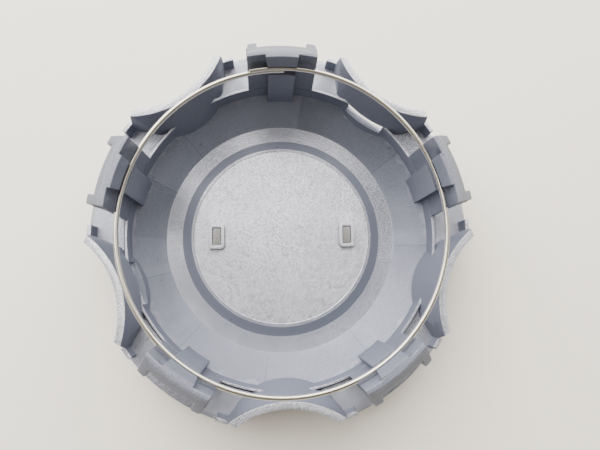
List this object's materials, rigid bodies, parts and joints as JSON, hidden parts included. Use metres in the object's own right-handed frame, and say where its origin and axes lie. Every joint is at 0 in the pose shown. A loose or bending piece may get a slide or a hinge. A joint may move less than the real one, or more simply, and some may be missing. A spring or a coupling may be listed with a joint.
{
  "type": "wheel centre cap",
  "caption": "Moulded star-shaped wheel centre cap with lug scallops, snap clips on its back, a spring-wire retaining ring and a blank front disc.",
  "frame": {"origin": "on the cap's axis, at the front of the blank disc, which is level with the nose ring that the cap lies on", "axes": "+Z from the front to the back of the cap, towards the hub; +Y along the lobe that holds the ends of the wire"},
  "size_m": [0.126, 0.123, 0.0379],
  "materials": {
    "moulded_plastic": "satin moulding, light overspray on the faces that look back",
    "spring_wire": "bright drawn wire",
    "plated_disc": "plated plastic, polished"
  },
  "bodies": {
    "root": {"cap_body": "moulded_plastic", "retaining_ring": "spring_wire", "badge": "plated_disc"}
  },
  "joints": []
}
